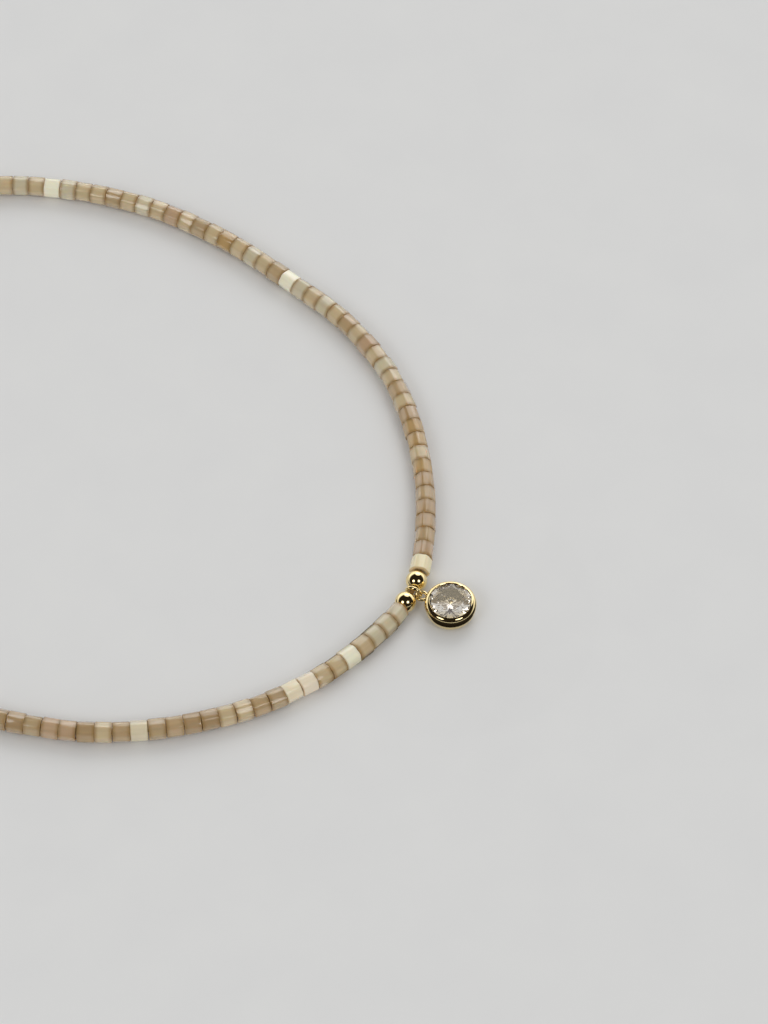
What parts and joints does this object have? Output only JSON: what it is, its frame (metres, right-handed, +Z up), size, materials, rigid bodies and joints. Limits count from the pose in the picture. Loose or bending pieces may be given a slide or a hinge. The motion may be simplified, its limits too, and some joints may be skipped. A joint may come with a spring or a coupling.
{
  "type": "beaded stretch bracelet",
  "caption": "Slim closed bracelet of hexagonal glass beads on stretch thread, with gold balls, a jump ring and a round bezel charm with a clear stone, lying flat.",
  "frame": {"origin": "middle of the bracelet's outline, on the surface it lies on", "axes": "+Z up from the surface, +X towards the side with the charm, +Y towards the far arc"},
  "size_m": [0.063, 0.059, 0.0021],
  "materials": {
    "taupe_glass": "translucent, fire polished, hex cut",
    "cream_glass": "opaque, lustred, hex cut",
    "stretch_thread": "smooth elastic",
    "gold": "gold plated, polished",
    "clear_stone": "brilliant cut, polished"
  },
  "bodies": {
    "root": {"cream_bead_01": "cream_glass", "cream_bead_02": "cream_glass", "cream_bead_03": "cream_glass", "cream_bead_04": "cream_glass", "cream_bead_05": "cream_glass", "cream_bead_06": "cream_glass", "cream_bead_07": "cream_glass", "cream_bead_08": "cream_glass", "cream_bead_09": "cream_glass", "cream_bead_10": "cream_glass", "taupe_beads_01": "taupe_glass", "taupe_beads_02": "taupe_glass", "taupe_beads_03": "taupe_glass", "taupe_beads_04": "taupe_glass", "taupe_beads_05": "taupe_glass", "taupe_beads_06": "taupe_glass", "taupe_beads_07": "taupe_glass", "taupe_beads_08": "taupe_glass", "taupe_beads_09": "taupe_glass", "taupe_beads_10": "taupe_glass", "taupe_beads_11": "taupe_glass", "taupe_beads_12": "taupe_glass", "taupe_beads_13": "taupe_glass", "taupe_beads_14": "taupe_glass", "taupe_beads_15": "taupe_glass", "taupe_beads_16": "taupe_glass", "taupe_beads_17": "taupe_glass", "thread": "stretch_thread", "gold_ball_1": "gold", "gold_ball_2": "gold", "jump_ring": "gold", "bezel": "gold", "stone": "clear_stone"}
  },
  "joints": []
}
